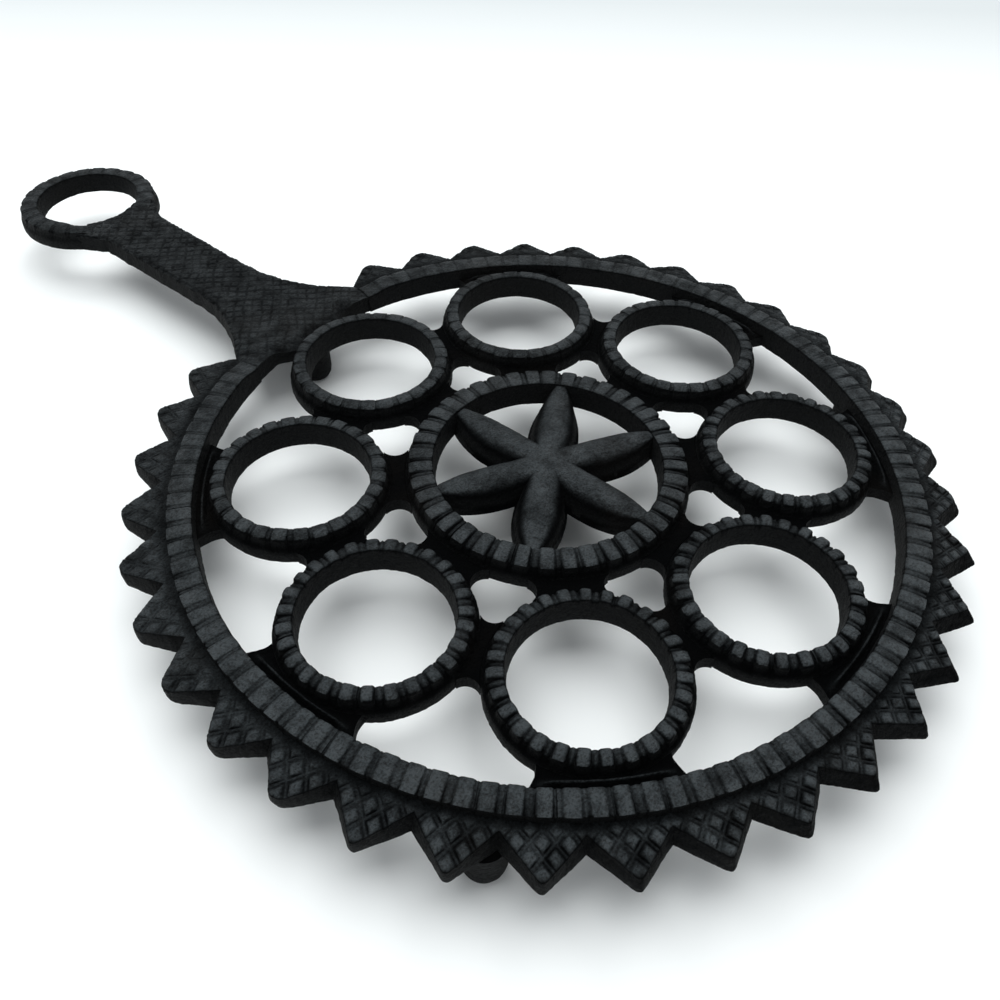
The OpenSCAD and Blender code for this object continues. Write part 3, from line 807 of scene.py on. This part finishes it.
class TRIVET_OT_handle(bpy.types.Operator):
    """Shape the woven strap, its flare and its root across the rim"""
    bl_idname = "trivet.handle"
    bl_label = "Handle"

    def half_width(self, plan, y):
        """Half the width of the handle at a distance from the centre."""
        side = plan.handle_pitches / 2 * tau / plan.pitches
        end_x, end_y = plan.root * sin(side), plan.root * cos(side)
        narrow = plan.strap_half
        flare_y = end_y + sqrt(plan.flare ** 2 - (plan.flare - end_x + narrow) ** 2)
        neck_x = narrow + plan.neck
        neck_y = LOOP_REACH - sqrt((plan.loop_out + plan.neck) ** 2 - neck_x ** 2)
        if y < end_y:
            return y * tan(side)
        if y < flare_y:
            return narrow + plan.flare - sqrt(plan.flare ** 2 - (flare_y - y) ** 2)
        if y < neck_y:
            return narrow + 0.25 * MM * ((y - flare_y) / (neck_y - flare_y)) ** 2
        rise = min(y - neck_y, plan.neck * 0.78)
        return narrow + 0.25 * MM + plan.neck - sqrt(plan.neck ** 2 - rise ** 2)

    def start_line(self, plan, x):
        """Where the handle begins: at ring 1 in the middle and at the band beside it."""
        wide = abs(x)
        reach = plan.ring_out - 0.5 * MM
        at_ring = plan.ring_circle + sqrt(max(reach * reach - x * x, 0))
        at_band = sqrt(plan.band_in ** 2 - x * x) + 0.2 * MM
        share_out = ease(5.5 * MM, 12.8 * MM, wide)
        return at_ring + (at_band - at_ring) * share_out

    def end_line(self, plan, x):
        """Where the handle ends: at the hole in the middle and inside the loop beside it."""
        wide = abs(x)
        hole = sqrt(max(plan.loop_in ** 2 - x * x, 0)) - 0.6 * MM
        rim = sqrt(max((plan.loop_out - 1 * MM) ** 2 - x * x, 0))
        return LOOP_REACH - hole - (rim - hole) * ease(8 * MM, 10.5 * MM, wide)

    def execute(self, context):
        plan, relief = context.scene.trivet_plan, context.scene.trivet_relief
        start, end = plan.band_in - 0.6 * MM, LOOP_REACH - plan.loop_in
        bm, wear_and_shade = grid(90, 330)
        for v in bm.verts:
            across, t = v.co.x * 2, v.co.y + 0.5
            y = start + (end - start) * t
            half = self.half_width(plan, y)
            x = across * half
            wave = noise.noise(Vector((across, y / (3 * MM), 2)))
            x += 0.3 * MM * wave * across * abs(across) ** 7
            y += max(1 - t / 0.25, 0) ** 1.5 * (self.start_line(plan, x) - start)
            y += max(1 - (1 - t) / 0.16, 0) ** 1.5 * (self.end_line(plan, x) - end)
            place = Vector((x, y, 0)) / (6 * MM)
            p = (x + y) * sqrt(0.5) + relief.weave_bend * noise.noise(place)
            q = (y - x) * sqrt(0.5) + relief.weave_bend * noise.noise(place + UP * 5)
            sunk = 0
            for d in (p, q):
                s = (d / relief.weave) % 1
                gap = min(abs(s - 0.08), abs(s - 0.58), abs(s - 1.08))
                sunk = max(sunk, 1 - ease(0.02, 0.12, gap))
                if 0.58 < s < 1.02:
                    sunk = max(sunk, 0.22)
            sunk *= 0.35 + 0.65 * ease(-0.45, 0.35, noise.noise(place * 1.7 + UP * 8))
            edge = (1 - abs(across)) * half
            round_off = HANDLE_ROUND * (1 - ease(0, HANDLE_ROUND_WIDTH, edge))
            near = 1 - ease(0, ROOT_DIP_REACH, y - self.start_line(plan, x))
            near *= 1 - ease(10 * MM, 16 * MM, abs(x))
            z = HANDLE_Z - relief.weave_depth * sunk - round_off - ROOT_DIP * near
            v.co = Vector((x, y, z))
            # Painted shade: the weave's grooves and the dip at ring 1 are darker
            v[wear_and_shade] = 0.72 * (1 - 0.6 * sunk) * (1 - 0.7 * near)
        skirt(bm, UNDER_Z, lambda co, n: n * (
            0.45 * MM if start + 9 * MM < co.y < end - 8 * MM else 0))
        finish_piece(bm, "woven_handle", "handle")
        return {"FINISHED"}


class TRIVET_OT_hanging_loop(bpy.types.Operator):
    """Turn the ribbed loop with the hanging hole"""
    bl_idname = "trivet.hanging_loop"
    bl_label = "Hanging loop"

    def execute(self, context):
        plan, relief = context.scene.trivet_plan, context.scene.trivet_relief
        bm = turned(
            wall_section(
                plan.loop_in, plan.loop_out, BAND_Z, plan.loop_lean, UNDER_Z + 2.5 * MM, roll=0.6),
            relief.loop_ribs * RIB_SAMPLES)
        cut_ribs(
            bm, relief.loop_ribs, (plan.loop_in, plan.loop_out - plan.loop_lean, BAND_Z),
            lambda angle: relief.rib_depth * LOOP_DEPTH, thin_at=lambda angle: 0.6,
            seed=21, poke=1.1)
        for v in bm.verts:
            over = max(v.co.z - HANDLE_Z + 0.2 * MM, 0)
            inside = 1 - ease(10 * MM, 13.5 * MM, abs(v.co.x))
            v.co.z -= over * inside * (1 - ease(-9 * MM, -5 * MM, v.co.y))
        finish_piece(bm, "ribbed_loop", "hanging_loop", centre=(0, LOOP_REACH))
        return {"FINISHED"}


class TRIVET_OT_feet(bpy.types.Operator):
    """Turn the three peg feet"""
    bl_idname = "trivet.feet"
    bl_label = "Feet"

    def execute(self, context):
        for index in range(3):
            low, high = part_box(f"foot_{index + 1}")
            r = context.scene.trivet_plan.foot
            bm = bmesh.new()
            row = [bm.verts.new((0, r * x, z * MM)) for x, z in FOOT_SECTION]
            row += [bm.verts.new((0, r, UNDER_Z)), bm.verts.new((0, 0, UNDER_Z))]
            edges = [bm.edges.new((row[i], row[i + 1])) for i in range(len(row) - 1)]
            bmesh.ops.spin(
                bm, geom=row + edges, cent=(0, 0, 0), axis=UP, angle=tau, steps=48, use_merge=True)
            bmesh.ops.remove_doubles(bm, verts=bm.verts, dist=1e-7)
            bmesh.ops.recalc_face_normals(bm, faces=bm.faces)
            bm.verts.layers.float.new("wear_and_shade")
            middle = (low + high) / 2
            finish_piece(
                bm, f"peg_foot_{index + 1}", f"foot_{index + 1}",
                centre=(middle.x, middle.y - MIDDLE_Y), rough=0.6)
        return {"FINISHED"}


class TRIVET_OT_rim_webs(bpy.types.Operator):
    """Shape the hollow webs between the rings and the band, with their raised line"""
    bl_idname = "trivet.rim_webs"
    bl_label = "Rim webs"

    def execute(self, context):
        plan = context.scene.trivet_plan
        whole = bmesh.new()
        whole.verts.layers.float.new("wear_and_shade")
        for index in range(1, 8):
            bm, wear_and_shade = grid(60, 22)
            for v in bm.verts:
                t = v.co.y + 0.5
                x = 2 * v.co.x * (plan.web_half + plan.web_flare * t * t)
                at_ring = plan.ring_circle + sqrt((plan.ring_out - 0.4 * MM) ** 2 - x * x)
                at_band = sqrt((plan.band_in + 0.3 * MM) ** 2 - x * x)
                y = at_ring + (at_band - at_ring) * t
                off = (hypot(x, y) - plan.band_in + 1.7 * MM) / (0.6 * MM)
                line = exp(-off * off) * (1 - ease(0.7, 1, abs(2 * v.co.x)))
                v.co = Vector((x, y, WEB_Z - 0.3 * MM + 1.4 * MM * line))
                # The raised line is lighter with wear and painted light; the rest of the web takes
                # painted shade
                v[wear_and_shade] = 0.35 * line
            skirt(bm, UNDER_Z, lambda co, n: n * 0.1 * MM)
            add_turned(whole, bm, index * tau / 8)
        finish_piece(whole, "lined_rim_webs", "rim_webs", rough=0.7)
        return {"FINISHED"}


class TRIVET_OT_inner_webs(bpy.types.Operator):
    """Give the flat webs between the rings their iron, which paints them in the near-black shade
    of the hollows
    """
    bl_idname = "trivet.inner_webs"
    bl_label = "Inner webs"

    def execute(self, context):
        skin = cast_iron("web_iron", context.scene.trivet_iron)
        for name in ("ring_webs", "centre_webs"):
            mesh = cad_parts[name].data
            mesh.materials.clear()
            mesh.materials.append(skin)
        return {"FINISHED"}


class TRIVET_OT_stage(bpy.types.Operator):
    """Lay the floor and set the light and the camera"""
    bl_idname = "trivet.stage"
    bl_label = "Stage"

    def execute(self, context):
        scene, look = context.scene, context.scene.trivet_stage
        bm = bmesh.new()
        bmesh.ops.create_grid(bm, x_segments=8, y_segments=8, size=look.floor_half)
        mesh = bpy.data.meshes.new("floor")
        bm.to_mesh(mesh)
        bm.free()
        floor = bpy.data.objects.new("floor", mesh)
        scene.collection.objects.link(floor)
        mat = bpy.data.materials.new("pale_floor")
        mat.use_nodes = True
        shader = mat.node_tree.nodes["Principled BSDF"]
        place = node_of(mat.node_tree, "ShaderNodeTexCoord").outputs["Object"]
        along = node_of(mat.node_tree, "ShaderNodeVectorMath", operation="DOT_PRODUCT")
        mat.node_tree.links.new(place, along.inputs[0])
        along.inputs[1].default_value = FAR_WAY
        # Painted shade: the floor's colour darkens towards the far end
        far = ramp_value(mat.node_tree, along.outputs["Value"], FADE_START, FADE_END, 0, 1)
        tint = blend(mat.node_tree, far, look.floor, look.far_floor_shade)
        mat.node_tree.links.new(tint, shader.inputs["Base Color"])
        shader.inputs["Roughness"].default_value = 0.85
        shader.inputs["Specular IOR Level"].default_value = 0.1
        mesh.materials.append(mat)
        floor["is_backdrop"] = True

        world = bpy.data.worlds.new("soft_room")
        world.use_nodes = True
        scene.world = world
        tree = world.node_tree
        back = tree.nodes["Background"]
        back.inputs["Color"].default_value = SKY_COLOUR
        seen = node_of(tree, "ShaderNodeLightPath").outputs["Is Camera Ray"]
        strength = ramp_value(tree, seen, 0, 1, look.sky, SEEN_SKY)
        tree.links.new(strength, back.inputs["Strength"])

        lamp = bpy.data.lights.new("overhead", "AREA")
        lamp.shape = "SQUARE"
        lamp.size = look.lamp_size
        lamp.energy = look.lamp
        lamp.color = LAMP_COLOUR
        holder = bpy.data.objects.new("overhead", lamp)
        holder.location = LAMP_PLACE
        aim = Vector(LAMP_AIM) - Vector(LAMP_PLACE)
        holder.rotation_euler = aim.to_track_quat("-Z", "Y").to_euler()
        scene.collection.objects.link(holder)

        lens = bpy.data.cameras.new("camera")
        lens.lens = LENS
        lens.sensor_width = 36
        lens.clip_start = 0.01
        camera = bpy.data.objects.new("camera", lens)
        camera.location = CAMERA_PLACE
        camera.rotation_euler = [radians(angle) for angle in CAMERA_TURN]
        scene.collection.objects.link(camera)
        scene.camera = camera
        scene.view_settings.view_transform = "Standard"
        return {"FINISHED"}


class TRIVET_PT_build(bpy.types.Panel):
    """Lists the steps that build the trivet"""
    bl_label = "Trivet"
    bl_space_type = "VIEW_3D"
    bl_region_type = "UI"
    bl_category = "Trivet"

    def draw(self, context):
        for operator in OPERATORS:
            self.layout.operator(operator.bl_idname)
        for group in ("trivet_plan", "trivet_relief", "trivet_iron", "trivet_stage"):
            box = self.layout.box()
            held = getattr(context.scene, group)
            for name in held.bl_rna.properties.keys():
                if name not in ("rna_type", "name"):
                    box.prop(held, name)


OPERATORS = (
    TRIVET_OT_small_rings, TRIVET_OT_centre_ring, TRIVET_OT_star, TRIVET_OT_rim_band,
    TRIVET_OT_sawtooth, TRIVET_OT_rim_webs, TRIVET_OT_inner_webs, TRIVET_OT_handle,
    TRIVET_OT_hanging_loop, TRIVET_OT_feet, TRIVET_OT_stage)
GROUPS = (
    ("trivet_plan", TrivetPlan), ("trivet_relief", TrivetRelief),
    ("trivet_iron", TrivetIron), ("trivet_stage", TrivetStage))


def register():
    for name, group in GROUPS:
        bpy.utils.register_class(group)
        setattr(bpy.types.Scene, name, bpy.props.PointerProperty(type=group))
    for operator in OPERATORS:
        bpy.utils.register_class(operator)
    bpy.utils.register_class(TRIVET_PT_build)


def unregister():
    bpy.utils.unregister_class(TRIVET_PT_build)
    for operator in reversed(OPERATORS):
        bpy.utils.unregister_class(operator)
    for name, group in reversed(GROUPS):
        delattr(bpy.types.Scene, name)
        bpy.utils.unregister_class(group)


def main():
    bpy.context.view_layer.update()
    register()
    for operator in OPERATORS:
        group, step = operator.bl_idname.split(".")
        getattr(getattr(bpy.ops, group), step)()


if __name__ == "__main__":
    main()
